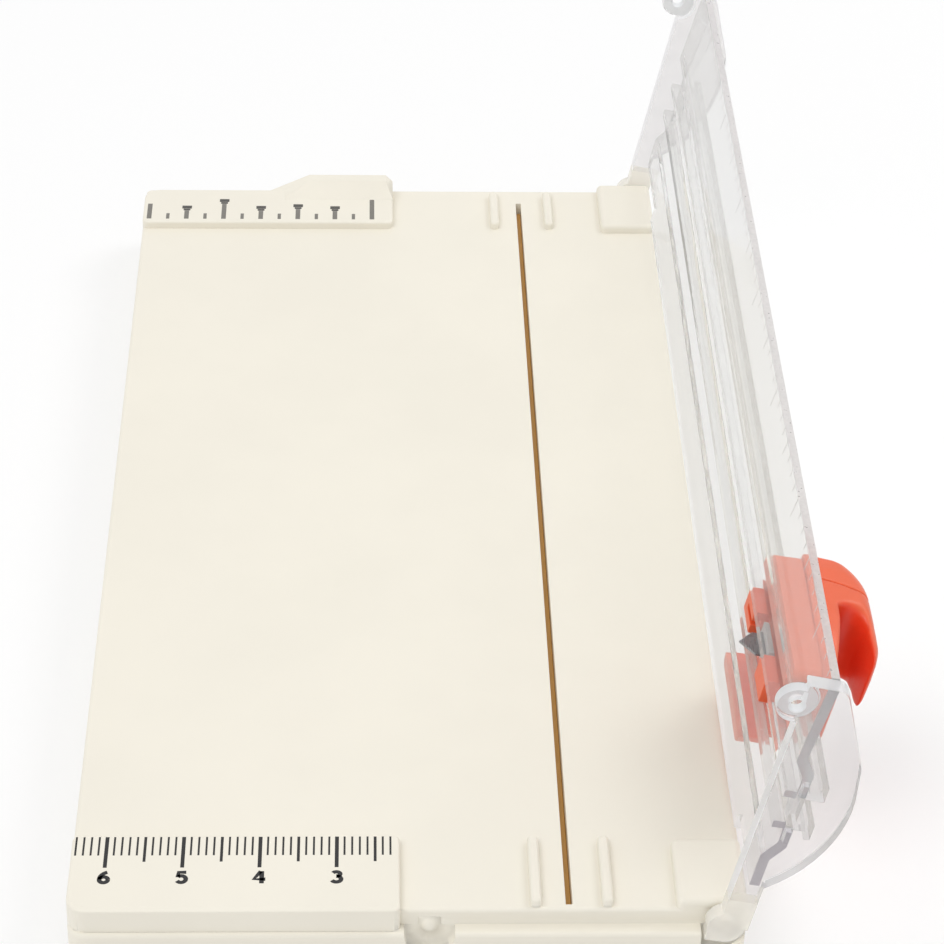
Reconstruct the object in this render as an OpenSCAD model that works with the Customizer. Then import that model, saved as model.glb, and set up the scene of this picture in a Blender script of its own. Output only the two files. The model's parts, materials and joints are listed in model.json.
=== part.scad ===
// Sliding-blade paper trimmer with a clear swing arm.
// The arm is drawn leaning open, with the carriage near the front end.
// Plan directions: X across the cut, Y along the cut, Z up from the table.

/* [Bed] */
// Longest sheet edge that fits between the two fences
paper_length = 152.4; // [120:0.1:320]
// Depth of the band from each fence edge to the end of the bed
fence_depth = 12.8; // [11:0.1:18]
// Height of the ruler fences above the bed
fence_height = 1.3; // [0.8:0.1:1.6]
// Cut line to the left edge of the bed
bed_left = 64.6; // [50:0.1:160]
// Cut line to the right ends of the ruler fences
ruler_start = 21.8; // [20:0.1:30]
// Height of the bed above the table
bed_height = 12; // [11:0.1:20]
// Thickness of the bed plate
deck = 2.2; // [2.1:0.1:2.6]
// Thickness of the base walls
wall = 2; // [1.6:0.1:2.4]
// Radius of the base corners seen from above
corner_r = 2.5; // [1:0.1:4]
// How far the plinth stands out past each end of the bed
plinth_out = 2; // [1.6:0.1:2.4]
// Depth of the plinth step below the bed
plinth_drop = 2.45; // [2.4:0.05:3]
// How far the front land stands out below the near ruler
front_land = 1.3; // [0.5:0.1:1.6]

/* [Bed details] */
// Width of the cut groove
groove_width = 0.9; // [0.8:0.05:1.6]
// Cut groove short of the near end of the bed
groove_near = 1; // [0.8:0.1:3]
// Cut groove short of the far end of the bed
groove_far = 4.3; // [3:0.1:6]
// Width of the two end ribs beside the groove
rib_width = 1.5; // [1:0.1:2]
// Height of the end ribs
rib_height = 1.3; // [0.8:0.1:1.6]
// Cut line to the middle of the left end rib
rib_left_at = 4.3; // [4.2:0.1:5]
// Cut line to the middle of the right end rib
rib_right_at = 4.95; // [4.3:0.05:5.5]
// Height of the hinge blocks above the bed
block_height = 1.5; // [1.4:0.1:2]
// Hinge axis to the left face of the hinge blocks
block_reach = 6.2; // [5:0.1:7]
// Length of the near hinge block along the cut
near_block = 12; // [11.5:0.1:16]
// Length of the far hinge block along the cut
far_block = 13.9; // [11.5:0.1:16]
// Height of the back stop above the far ruler
hump_height = 2; // [0.8:0.1:2.4]
// Length of the back stop
hump_length = 21.5; // [12:0.1:24]
// Length of the back stop's ramp
hump_ramp = 7; // [4:0.1:9]
// Bevel at the right end of the back stop
hump_bevel = 1.2; // [0.4:0.1:1.4]
// Depth of the back stop
hump_depth = 2.6; // [2.6:0.1:4]
// Length of the slope in front of the back stop
hump_slope = 2.4; // [1:0.1:2.6]
// Near ribs short of the near end of the bed
near_set = 0.4; // [0.2:0.1:1]
// Far ruler fence and far ribs short of the far end of the bed
far_set = 2.1; // [0.4:0.1:2.5]
// Radius of the round latch bumps
bump_r = 1.15; // [0.9:0.05:1.4]
// How far the latch bumps stand out
bump_out = 0.65; // [0.4:0.05:0.7]

/* [Underside] */
// Thickness of the base cover
cover = 2; // [1.6:0.1:2.4]
// Gap around the base cover
cover_gap = 0.2; // [0.1:0.05:0.4]
// Radius of the rubber feet
foot_r = 6; // [4:0.1:8]
// How far the feet stand below the base
foot_out = 1; // [0.6:0.1:1.5]
// Depth of the foot seats in the cover
foot_seat = 0.8; // [0.4:0.1:1.2]
// Feet in from the sides of the base
foot_inset = 13; // [11:0.5:16]
// Feet in from the ends of the base
foot_end_inset = 19; // [17:0.5:24]
// Radius of the cover screw shanks
screw_r = 1.2; // [1:0.05:1.4]
// Radius of the cover screw heads
screw_head_r = 2.5; // [2.2:0.1:3]
// Height of the cover screw heads
screw_head = 1.1; // [0.8:0.1:1.3]
// Length of the cover screw shanks above the cover
screw_bite = 4; // [2:0.1:4.5]
// How far the screw heads lie inside the cover
screw_sink = 0.1; // [0.1:0.05:0.2]
// Width of the cross slots in the screw heads
screw_slot = 0.6; // [0.4:0.05:0.8]
// Cut line to the right row of cover screws
screw_right = 9.2; // [8:0.1:10]
// Radius of the screw bosses
boss_r = 3; // [2.6:0.1:4]
// Gap between the screw bosses and the base walls
boss_set = 1; // [0.5:0.1:2]
// Thickness of the stiffening ribs below the bed
web = 1.5; // [1:0.1:2]

/* [Cutting strip] */
// Width of the cutting strip
strip_width = 4; // [3:0.1:5]
// Thickness of the cutting strip
strip_height = 1.4; // [1:0.1:2]
// How far the strip rails reach below the strip
strip_lip = 1; // [0.5:0.1:1.2]
// Rest below the strip short of the ends of the cover
strip_rest_set = 4; // [3:0.1:6]

/* [Arm] */
// Cut line to the hinge axis
hinge_offset = 20; // [19:0.1:26]
// Hinge axis below the bed surface
hinge_drop = 1; // [0.8:0.05:1.2]
// How far the open arm leans past upright, in degrees
open_lean = 11.55; // [8:0.05:16]
// Hinge axis to the right edge of the base
hinge_wall = 3; // [1.6:0.1:3.4]
// Thickness of the clear panel
panel = 1.4; // [1.2:0.1:1.6]
// Cut line to each edge of the raised track
track_half = 5.5; // [5.2:0.1:6.8]
// Hinge axis to the low side of the panel between the hinge blocks
skirt_low = 4.1; // [4:0.1:5.5]
// Slope length between the track and the panel beside it
jog = 2.5; // [1.2:0.1:3]
// Outer corners of that slope, set out from its inner ones
jog_shift = 0.8; // [0.4:0.1:1]
// Width of the bevel along the ruler edge
edge_bevel = 1; // [0.6:0.1:1.4]
// Depth of the bevel along the ruler edge
edge_thin = 0.3; // [0.2:0.05:0.4]
// Rise of the panel towards the ruler edge
edge_rise = 0.7; // [0:0.1:1]
// Width of the carriage slot
slot_width = 4; // [3.6:0.1:4.2]
// Panel left at each end of the carriage slot
slot_bridge = 2; // [1.2:0.1:2.4]
// Thickness of the slot walls
slot_wall = 1.2; // [1:0.1:1.3]
// Height of the guide ribs above the track
guide_rise = 2.5; // [2.4:0.1:2.7]
// Thickness of the guide rib flanges
guide_flange = 0.9; // [0.7:0.1:1]
// How far the guide rib flanges overhang the track
guide_reach = 1.3; // [1:0.1:1.6]
// Width of the tenons at the rail's ends
tenon_width = 2; // [1.4:0.1:2.2]
// Middle of the tenons in from the track edges
tenon_inset = 1.6; // [1.3:0.1:2]
// Faces of the tenons in from the panel faces
tenon_shy = 0.3; // [0.2:0.05:0.4]
// Radius of the hinge pins
pin_r = 1.1; // [0.8:0.05:1.2]
// Length of the hinge pins inside the base
pin_bite = 10; // [6:0.1:11]
// Thickness of end plate left outside the hinge pins
pin_skin = 0.7; // [0.5:0.05:0.9]

/* [End plates] */
// Thickness of the end plates
end_plate = 2.2; // [1.8:0.1:3]
// Radius of the hinge knuckles
knuckle_r = 2.5; // [2.2:0.1:3.4]
// Radius of the round latch knobs
knob_r = 2.6; // [2.2:0.1:2.8]
// Radius of the holes in the latch knobs
knob_hole_r = 0.9; // [0.7:0.05:1]
// Latch knob in from the ruler edge
knob_inset = 3.4; // [3.2:0.1:4]
// Depth of the latch knob axis below the bed when closed
knob_drop = 2.6; // [2.2:0.1:3]
// Highest point of the plate above the hinge axis when closed
crown_top = 10.1; // [9:0.1:10.1]
// Radius of the crown
crown_r = 19; // [16:0.1:22]
// Crown from the cut line towards the ruler edge
crown_shift = 2.6; // [0:0.1:3]
// Height of the shoulder towards the ruler edge
shoulder_top = 9.4; // [7:0.1:9.5]
// Radius of the shoulder
shoulder_r = 6; // [4:0.1:7]
// Shoulder in from the ruler edge
shoulder_inset = 13.4; // [9:0.1:14]
// Radius of the corner at the ruler edge
tip_r = 1.8; // [1:0.1:2]

/* [Carriage] */
// Carriage from the middle of the bed, negative towards the front
carriage_at = -57.5; // [-70:0.1:60]
// Half length of the slider along the cut
slider_half = 12.7; // [11.5:0.1:13]
// Width of the slider and the loop
hood_width = 13; // [12:0.1:14]
// Thickness of the slider above the panel
slider_height = 3.8; // [3.6:0.1:4.2]
// Reach of the guide wing towards the hinge
wing_reach = 7.1; // [6:0.1:8]
// Length of the guide wing along the cut
wing_length = 17.8; // [12:0.1:20]
// Thickness of the guide wing
wing = 1.6; // [1.2:0.1:1.8]
// Length of the guide keels along the cut
keel_length = 5.5; // [4:0.1:5.8]
// Gap between the guide keels and the blade holder
keel_set = 1.2; // [0.8:0.1:1.4]
// Width of the slot in the far keel
keel_slot = 0.7; // [0.5:0.05:0.9]
// Solid nose of the far keel past its slot
keel_nose = 1.6; // [1:0.1:2]
// How far the blade holder reaches along the cut to each side
holder_half = 3.2; // [2.8:0.1:3.8]
// Width of the blade holder
holder_width = 2.5; // [2.2:0.1:2.6]
// Thickness of the blade
blade = 0.3; // [0.2:0.05:0.5]
// How deep the blade tip reaches below the bed when closed
blade_depth = 1.5; // [0.8:0.1:1.5]
// How far the blade's blunt end lies below the top of the slider
blade_cover = 1.2; // [0.8:0.1:1.6]
// Half width of the blade
blade_half = 2.3; // [1.8:0.1:2.4]
// Slope of the blade tip from the cut plane, in degrees
blade_slope = 41; // [35:1:60]
// Radius of the blade pin
blade_pin_r = 0.8; // [0.6:0.05:1]

/* [Finger loop] */
// Highest point of the loop above the slider
loop_height = 9.2; // [9:0.1:12]
// Radius of the high rear end of the loop
loop_r = 9.7; // [8.8:0.1:10.2]
// How far the rear end lies below the highest point
rear_fall = 0.7; // [0.4:0.1:1]
// Rounding where the loop meets the slider
loop_foot = 1.5; // [1:0.1:1.8]
// Rounding of the loop edges
loop_edge = 2.2; // [1:0.1:2.6]
// Width of the loop above the finger hole
brow_width = 11; // [9:0.1:12]
// Radius of the brow's top
brow_r = 7.6; // [6.8:0.1:8]
// Top of the brow ahead of the rear end
brow_set = 7; // [5:0.1:8]
// Width of the brow at its front edge
brow_front = 8; // [6:0.1:9]
// Radius of the brow's front edge
brow_tip = 0.6; // [0.5:0.05:0.8]
// How far the brow reaches past the blade towards the front
brow_reach = 4.5; // [3.6:0.1:6]
// How far the brow drops from its highest point to its front edge
brow_fall = 1; // [0.6:0.1:1.4]
// How far the loop stands past the rear end of the slider
loop_rear = 0.5; // [0.3:0.1:2]
// Width of the thumb plate at its front end
thumb_width = 9; // [6:0.1:12]
// Radius of the thumb plate corners
thumb_r = 1.5; // [0.8:0.1:2.5]
// Thickness of the loop over the finger hole
loop_wall = 1.6; // [1.2:0.1:1.8]
// Thickness of the loop under the finger hole
loop_floor = 2.2; // [1.4:0.1:2.4]
// Thickness of the loop behind the finger hole
loop_back = 4.5; // [2:0.1:5]
// Straight part of the finger hole along the cut
hole_run = 3.9; // [3:0.1:5]
// Length of the rear cap along the cut
cap_length = 4.8; // [3.5:0.1:5.5]

/* [Fits] */
// Gap between parts that move past each other
running_gap = 0.3; // [0.2:0.05:0.35]
// Gap between the closed arm and the hinge blocks
arm_gap = 0.4; // [0.3:0.05:0.6]
// Gap between the panel's hinge side and the hinge blocks
panel_gap = 0.4; // [0.3:0.05:0.8]
// Gap between the open arm's stop and the base
stop_gap = 0.28; // [0.2:0.02:0.4]
// Gap between the closed panel and the bed
leaf_gap = 0.35; // [0.3:0.05:0.5]
// Gap between the blade tip and the cutting strip
strip_gap = 0.4; // [0.3:0.05:0.5]
// Gap between the ruler edge and the ruler fences
tip_gap = 0.4; // [0.35:0.05:0.6]
// Clearance on the radius of turning pins
pin_clearance = 0.05; // [0.02:0.01:0.09]
// Clearance on the radius of fixed pins and screws, and around seated pieces
seat_clearance = 0.03; // [0.01:0.01:0.06]
// Room around the hinge knuckles in the base
knuckle_room = 0.5; // [0.45:0.05:0.8]
// Room around the latch knobs in the base
knob_room = 0.7; // [0.5:0.05:0.9]
// Room around the screws in the cover
screw_room = 0.3; // [0.2:0.05:0.4]
// Gap beside the strip's ridge in the groove
groove_gap = 0.1; // [0.05:0.05:0.15]
// Height of the guide keels above the bed when closed
paper_gap = 0.6; // [0.4:0.05:0.7]

/* [Hidden] */
$fn = 64;
eps = 0.01;

// Bed, measured from the cut line and the bed surface
bed_half = paper_length / 2 + fence_depth;
fence_y = paper_length / 2;
plinth_half = bed_half + plinth_out;
base_bottom = foot_out - bed_height;
cover_top = base_bottom + cover;
hollow_half = bed_half - wall;
base_right = hinge_offset + hinge_wall;

// Arm, in its own frame: X away from the bed side, Y along the cut, Z from the hinge to the ruler edge
panel_in = hinge_drop + block_height + arm_gap;
panel_out = panel_in + panel;
panel_low = block_reach + panel_gap;
skirt_near = bed_half - near_block - panel_gap;
skirt_far = bed_half - far_block - panel_gap;
arm_reach = hinge_offset + ruler_start - tip_gap;
plate_in = bed_half + running_gap;
plate_out = plate_in + end_plate;
rail_half = plate_in - seat_clearance;
slot_half = rail_half - slot_bridge;
slot_edge = slot_width / 2;
guide_edge = slot_edge + slot_wall;
guide_top = panel_out + guide_rise;
leaf_in = hinge_drop + leaf_gap;
leaf_out = leaf_in + panel;
recess_half = knuckle_r + knuckle_room;
toe = (recess_half - stop_gap - knuckle_r * sin(open_lean)) / cos(open_lean);
recess_drop = hinge_drop + norm([toe, knuckle_r]) + running_gap;
plate_floor = hinge_drop - plinth_drop + tip_gap;
knob_u = arm_reach - knob_inset;
knob_w = hinge_drop - knob_drop;
knob_in = bed_half + bump_out + running_gap;

// Carriage, in the arm frame moved to the blade
slider_in = panel_out + running_gap;
slider_out = slider_in + slider_height;
keel_in = hinge_drop + paper_gap;
keel_half = slot_edge - running_gap;
keel_end = holder_half + keel_set + keel_length;
holder_in = panel_in;
blade_tip = hinge_drop - blade_depth;
blade_rise = blade_half / tan(90 - blade_slope);
blade_top = slider_out - blade_cover;
crest = slider_out + loop_height;
hole_floor = slider_out + loop_floor;
hole_r = (crest - loop_wall - hole_floor) / 2;
hood_end = slider_half + loop_rear;
seam_y = slider_half - cap_length;

// Where the cut line and the bed stand in the part's own frame
loop_reach = (hinge_offset + brow_width / 2 - loop_edge) * sin(open_lean) + crest * cos(open_lean);
cut_x = (bed_left - hinge_offset - loop_reach) / 2;
screw_x = [-bed_left + wall + boss_r + boss_set, -ruler_start, screw_right];
screw_y = hollow_half - boss_r - boss_set;
foot_x = [-bed_left + foot_inset, base_right - foot_inset];
foot_y = plinth_half - foot_end_inset;

// Frames

// Bed frame: the cut line on the bed surface
module on_bed() {
    translate([cut_x, 0, bed_height]) children();
}

// Arm frame: the hinge axis, leaning open
module on_arm() {
    on_bed() translate([hinge_offset, 0, -hinge_drop]) rotate([0, open_lean, 0]) children();
}

// Carriage frame: the blade on the open arm
module on_carriage() {
    on_arm() translate([0, carriage_at, 0]) children();
}

// Shared shapes

// Box between two corners
module span(low, high) {
    translate(low) cube(high - low);
}

// Both ends of the bed, the far one mirrored
module both_ends() {
    children();
    mirror([0, 1, 0]) children();
}

// Plate with round corners between two corners
module round_plate(low, high, r) {
    size = high - low;
    translate(low) {
        translate([r, 0, 0]) cube([size.x - 2 * r, size.y, size.z]);
        translate([0, r, 0]) cube([size.x, size.y - 2 * r, size.z]);
        for (x = [r, size.x - r], y = [r, size.y - r])
            translate([x, y, 0]) cylinder(h = size.z, r = r);
    }
}

// Cylinder along the cut between two places
module rod(y0, y1, r) {
    translate([0, y0, 0]) rotate([-90, 0, 0]) cylinder(h = y1 - y0, r = r);
}

// Disc with rounded edges, its axis along Z
module round_disc(r, width, edge) {
    rim = [for (a = [-90 : 30 : 0]) [r - edge + edge * cos(a), edge - width / 2 + edge * sin(a)]];
    brim = [for (a = [0 : 30 : 90]) [r - edge + edge * cos(a), width / 2 - edge + edge * sin(a)]];
    rotate_extrude($fn = 32) polygon(concat([[0, -width / 2]], rim, brim, [[0, width / 2]]));
}

// Base

// Ruler fence at the near end
module near_fence() {
    span([-bed_left + corner_r, -bed_half - front_land, -eps], [-ruler_start, -fence_y, fence_height]);
    span([-bed_left, -bed_half - front_land + corner_r, -eps], [-ruler_start, -fence_y, fence_height]);
    translate([-bed_left + corner_r, -bed_half - front_land + corner_r, -eps])
        cylinder(h = fence_height + eps, r = corner_r);
}

// Ruler fence at the far end, with the ramped back stop
module far_fence() {
    top = fence_height + hump_height;
    start = -ruler_start - hump_length;
    fence_end = bed_half - far_set;
    span([-bed_left + corner_r, fence_y, -eps], [-ruler_start, fence_end, fence_height]);
    span([-bed_left, fence_y, -eps], [-ruler_start, fence_end - corner_r, fence_height]);
    translate([-bed_left + corner_r, fence_end - corner_r, -eps])
        cylinder(h = fence_height + eps, r = corner_r);
    rise = hump_ramp * fence_height / top;
    hull() {
        translate([0, bed_half, 0]) rotate([90, 0, 0]) linear_extrude(hump_depth)
            polygon([[start, -eps], [start + hump_ramp, top], [-ruler_start - hump_bevel, top],
                [-ruler_start, top - hump_bevel], [-ruler_start, -eps]]);
        span([start + rise, bed_half - hump_depth - hump_slope, -eps],
            [-ruler_start, bed_half, fence_height - 2 * eps]);
    }
}

// Raised details at one end of the bed: two ribs set in from the end, and a hinge block
module end_details(rib_set, block_length) {
    for (x = [-rib_left_at, rib_right_at])
        span([x - rib_width / 2, -bed_half + rib_set, -eps], [x + rib_width / 2, -fence_y, rib_height]);
    span([hinge_offset - block_reach, -bed_half, -hinge_drop - knuckle_r - 1],
        [base_right, -bed_half + block_length, block_height]);
}

// Clear space at one end for the swinging end plate
module end_recess() {
    span([hinge_offset - recess_half, -plinth_half - 1, -recess_drop], [base_right + 1, -bed_half, 0]);
    translate([hinge_offset - knob_u, 0, -knob_drop]) {
        rod(-plinth_half - 1, -bed_half, knob_r + knob_room);
        span([-knob_r - knob_room, -plinth_half - 1, 0], [knob_r + knob_room, -bed_half, knob_drop]);
    }
}

// Round latch bump on one end wall
module latch_bump() {
    ball_r = (bump_r * bump_r + bump_out * bump_out) / (2 * bump_out);
    intersection() {
        translate([hinge_offset - knob_u, -bed_half - bump_out + ball_r, -knob_drop]) sphere(r = ball_r);
        translate([hinge_offset - knob_u, 0, -knob_drop]) rod(-plinth_half, -bed_half + 0.2, bump_r + 0.2);
    }
}

// Bed and walls before the cuts
module base_block() {
    round_plate([-bed_left, -plinth_half, base_bottom], [base_right, plinth_half, -plinth_drop], corner_r);
    round_plate([-bed_left, -bed_half, -plinth_drop - eps], [base_right, bed_half, 0], 1);
    span([-bed_left + corner_r, -bed_half - front_land, -plinth_drop - eps], [-ruler_start, 0, 0]);
    span([-bed_left, -bed_half - front_land + corner_r, -plinth_drop - eps], [-ruler_start, 0, 0]);
    translate([-bed_left + corner_r, -bed_half - front_land + corner_r, -plinth_drop - eps])
        cylinder(h = plinth_drop + eps, r = corner_r);
}

// Webs, screw bosses and strip rails below the bed
module underside() {
    floor_z = cover_top + seat_clearance;
    for (x = [-bed_left * 0.68, -bed_left * 0.4])
        span([x - web / 2, -hollow_half - eps, floor_z], [x + web / 2, hollow_half + eps, eps - deck]);
    for (y = [-hollow_half / 2, 0, hollow_half / 2])
        span([-bed_left + wall - eps, y - web / 2, floor_z],
            [-strip_width / 2 - web - seat_clearance, y + web / 2, eps - deck]);
    for (side = [-1, 1])
        translate([side * (strip_width / 2 + seat_clearance + web / 2), 0, 0])
            span([-web / 2, -hollow_half - eps, -deck - strip_height - strip_lip],
                [web / 2, hollow_half + eps, eps - deck]);
    for (x = screw_x, side = [-1, 1])
        translate([x, side * screw_y, floor_z]) cylinder(h = eps - deck - floor_z, r = boss_r);
}

module base_shell() {
    color("#f2eee0") on_bed() difference() {
        union() {
            difference() {
                base_block();
                span([-bed_left + wall, -hollow_half, base_bottom - 1],
                    [base_right - wall, hollow_half, -deck]);
                both_ends() end_recess();
            }
            near_fence();
            far_fence();
            end_details(near_set, near_block);
            mirror([0, 1, 0]) end_details(far_set, far_block);
            both_ends() latch_bump();
            underside();
        }
        span([-groove_width / 2, -bed_half + groove_near, -deck - eps],
            [groove_width / 2, bed_half - groove_far, 1]);
        both_ends() translate([hinge_offset, 0, -hinge_drop])
            rod(-bed_half - 1, -bed_half + pin_bite, pin_r + seat_clearance);
        for (x = screw_x, side = [-1, 1])
            translate([x, side * screw_y, cover_top - eps])
                cylinder(h = screw_bite + 0.5, r = screw_r + seat_clearance);
    }
}

module base_cover() {
    low = [-bed_left + wall + cover_gap, -hollow_half + cover_gap, base_bottom];
    high = [base_right - wall - cover_gap, hollow_half - cover_gap, cover_top];
    strip_floor = -deck - strip_height - seat_clearance;
    color("#e9e4d4") on_bed() difference() {
        union() {
            round_plate(low, high, 1);
            span([-web / 2, low.y + strip_rest_set, cover_top - eps],
                [web / 2, high.y - strip_rest_set, strip_floor]);
        }
        for (x = foot_x, side = [-1, 1])
            translate([x, side * foot_y, base_bottom - 1])
                cylinder(h = foot_seat + 1, r = foot_r + seat_clearance);
        for (x = screw_x, side = [-1, 1]) translate([x, side * screw_y, 0]) {
            translate([0, 0, base_bottom - 1]) cylinder(h = cover + 2, r = screw_r + screw_room);
            translate([0, 0, base_bottom - 1])
                cylinder(h = 1 + screw_sink + screw_head, r = screw_head_r + screw_room);
        }
    }
}

module cover_screws() {
    head_z = base_bottom + screw_sink;
    color("#9a9da0") on_bed() for (x = screw_x, side = [-1, 1])
        translate([x, side * screw_y, head_z]) difference() {
            union() {
                cylinder(h = screw_head, r = screw_head_r);
                cylinder(h = cover + screw_bite - screw_sink, r = screw_r);
            }
            for (turn = [0, 90]) rotate(turn)
                translate([-screw_r, -screw_slot / 2, -1])
                    cube([2 * screw_r, screw_slot, 1 + screw_head / 2]);
        }
}

module cutting_strip() {
    y0 = -hollow_half + running_gap;
    y1 = hollow_half - running_gap;
    strip_top = -blade_depth - strip_gap;
    color("#a8793f") on_bed() {
        span([-strip_width / 2, y0, -deck - strip_height], [strip_width / 2, y1, -deck]);
        span([-groove_width / 2 + groove_gap, y0, -deck - eps],
            [groove_width / 2 - groove_gap, bed_half - groove_far - running_gap, strip_top]);
    }
}

// Rubber foot with a round edge below
module foot(x, y) {
    edge = foot_out * 0.6;
    color("#3a3a3c") on_bed() translate([x, y, base_bottom - foot_out]) rotate_extrude()
        polygon([[0, 0], [foot_r - edge, 0], [foot_r - edge * 0.4, edge * 0.4], [foot_r, edge],
            [foot_r, foot_out + foot_seat], [0, foot_out + foot_seat]]);
}

module foot_near_left() {
    foot(foot_x[0], -foot_y);
}

module foot_near_right() {
    foot(foot_x[1], -foot_y);
}

module foot_far_left() {
    foot(foot_x[0], foot_y);
}

module foot_far_right() {
    foot(foot_x[1], foot_y);
}

module hinge_pin() {
    color("#e6dfcf") on_bed() translate([hinge_offset, 0, -hinge_drop])
        rod(-plate_out + pin_skin + running_gap, -bed_half + pin_bite - running_gap, pin_r);
}

module hinge_pin_near() {
    hinge_pin();
}

module hinge_pin_far() {
    mirror([0, 1, 0]) hinge_pin();
}

// Clear arm

// Rectangle between two corners, in the plane across the cut
module patch(low, high) {
    translate(low) square(high - low);
}

// Outline of the rail across the cut, X from the bed side and Y from the cut line
module rail_profile() {
    low = panel_low - hinge_offset;
    high = arm_reach - hinge_offset;
    flank = track_half + jog;
    edge_out = leaf_out + edge_rise;
    polygon([[leaf_in, low], [leaf_out, low], [leaf_out, -flank - jog_shift],
        [panel_out, -track_half - jog_shift], [panel_out, 0], [panel_in, 0], [panel_in, -track_half],
        [leaf_in, -flank]]);
    polygon([[panel_in, 0], [panel_out, 0], [panel_out, track_half + jog_shift],
        [leaf_out, flank + jog_shift], [edge_out, high - edge_bevel], [edge_out - edge_thin, high],
        [leaf_in + edge_rise, high], [leaf_in, flank], [panel_in, track_half]]);
    for (side = [0, 1]) mirror([0, side]) {
        patch([leaf_in, slot_edge], [panel_out, guide_edge]);
        patch([panel_out - eps, slot_edge], [guide_top, guide_edge]);
        patch([guide_top - guide_flange, slot_edge], [guide_top, guide_edge + guide_reach]);
    }
}

// Tenons of the rail at one end, larger by a gap all round where they are cut out of the end plate
module rail_tenons(gap) {
    depth = rail_half + end_plate / 2 + gap;
    half = tenon_width / 2 + gap;
    for (u = [-track_half + tenon_inset, track_half - tenon_inset])
        span([panel_in + tenon_shy - gap, -depth, u - half],
            [panel_out - tenon_shy + gap, -rail_half + eps, u + half]);
}

module arm_rail() {
    color([0.86, 0.88, 0.88, 0.4]) on_arm() translate([0, 0, hinge_offset]) difference() {
        union() {
            translate([0, rail_half, 0]) rotate([90, 0, 0]) linear_extrude(2 * rail_half) rail_profile();
            span([leaf_in, -skirt_near, skirt_low - hinge_offset],
                [leaf_out, skirt_far, panel_low - hinge_offset + eps]);
            both_ends() rail_tenons(0);
        }
        span([leaf_in - 1, -slot_half, -slot_edge], [panel_out + 0.5, slot_half, slot_edge]);
    }
}

// Outline of an end plate, X from the bed side and Y from the hinge
module plate_outline() {
    far = arm_reach + hinge_offset;
    intersection() {
        hull() {
            translate([crown_top - crown_r, hinge_offset + crown_shift]) circle(r = crown_r);
            translate([shoulder_top - shoulder_r, arm_reach - shoulder_inset]) circle(r = shoulder_r);
            translate([panel_in, arm_reach - tip_r - 0.1]) circle(r = tip_r);
        }
        translate([plate_floor, -far]) square([far, 2 * far]);
    }
    translate([plate_floor, 0]) square([panel_in - plate_floor, arm_reach - tip_r - 0.1]);
}

// End plate at the near end
module end_plate_body() {
    color([0.86, 0.88, 0.88, 0.4]) on_arm() difference() {
        union() {
            translate([0, -plate_in, 0]) rotate([90, 0, 0]) linear_extrude(end_plate) plate_outline();
            rod(-plate_out, -plate_in, knuckle_r);
            span([-toe, -plate_out, -knuckle_r], [0, -plate_in, 0]);
            translate([knob_w, 0, knob_u]) rod(-plate_out, -knob_in, knob_r);
        }
        rod(-plate_out + pin_skin, -plate_in + 1, pin_r + pin_clearance);
        translate([knob_w, 0, knob_u]) rod(-plate_out - 1, -bed_half, knob_hole_r);
        translate([knob_w, 0, knob_u]) rod(-knob_in, -bed_half, knob_r + running_gap);
        translate([0, 0, hinge_offset]) rail_tenons(seat_clearance);
    }
}

module end_plate_near() {
    end_plate_body();
}

module end_plate_far() {
    mirror([0, 1, 0]) end_plate_body();
}

// Carriage

// Channel along the slider for one guide rib of the rail
module guide_channel() {
    span([slider_in - 1, -slider_half - 1, slot_edge - running_gap],
        [guide_top + running_gap, slider_half + 1, guide_edge + running_gap]);
    span([guide_top - guide_flange - running_gap, -slider_half - 1, slot_edge - running_gap],
        [guide_top + running_gap, slider_half + 1, guide_edge + guide_reach + running_gap]);
}

module slider() {
    wing_end = -hood_width / 2 - wing_reach;
    color("#e8633f") on_carriage() translate([0, 0, hinge_offset]) difference() {
        union() {
            difference() {
                span([slider_in, -slider_half, -hood_width / 2], [slider_out, slider_half, hood_width / 2]);
                guide_channel();
                mirror([0, 0, 1]) guide_channel();
            }
            span([slider_out - wing, slider_half - wing_length, wing_end],
                [slider_out, slider_half, -hood_width / 2 + eps]);
            span([leaf_out + running_gap, slider_half - wing_length, wing_end],
                [slider_out, slider_half, wing_end + wing]);
            for (y = [-keel_end, keel_end - keel_length])
                span([keel_in, y, -keel_half], [slider_in + eps, y + keel_length, keel_half]);
        }
        span([keel_in - 1, keel_end - keel_length - 1, -keel_slot / 2],
            [panel_in, keel_end - keel_nose, keel_slot / 2]);
        span([0, -holder_half - seat_clearance, -holder_width / 2 - seat_clearance],
            [slider_out + 1, holder_half + seat_clearance, holder_width / 2 + seat_clearance]);
    }
}

// Outer form of the finger loop with the rear cap, before the finger hole
module hood_form() {
    rear_y = hood_end - brow_r;
    intersection() {
        hull() {
            translate([crest - rear_fall - loop_r, rear_y, 0]) round_disc(loop_r, hood_width, loop_edge);
            translate([crest - brow_r, rear_y - brow_set, 0]) round_disc(brow_r, brow_width, loop_edge);
            translate([crest - brow_fall - brow_tip, brow_tip - brow_reach, 0])
                round_disc(brow_tip, brow_front, brow_tip - 0.1);
            for (y = [loop_foot - brow_reach, hood_end - loop_foot])
                translate([slider_out + loop_foot, y, 0]) round_disc(loop_foot, hood_width, loop_foot - 0.1);
        }
        span([slider_out, -4 * slider_half, -hood_width], [crest + 1, hood_end, hood_width]);
    }
}

// Flat plate below the finger hole, narrower towards the front
module thumb_plate() {
    front = [thumb_r - slider_half, thumb_width / 2 - thumb_r];
    back = [0, hood_width / 2 - thumb_r];
    translate([slider_out, 0, 0]) rotate([0, 90, 0]) hull()
        for (spot = [front, back], side = [-1, 1])
            translate([side * spot.y, spot.x, 0]) cylinder(h = loop_floor, r = thumb_r);
}

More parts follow.
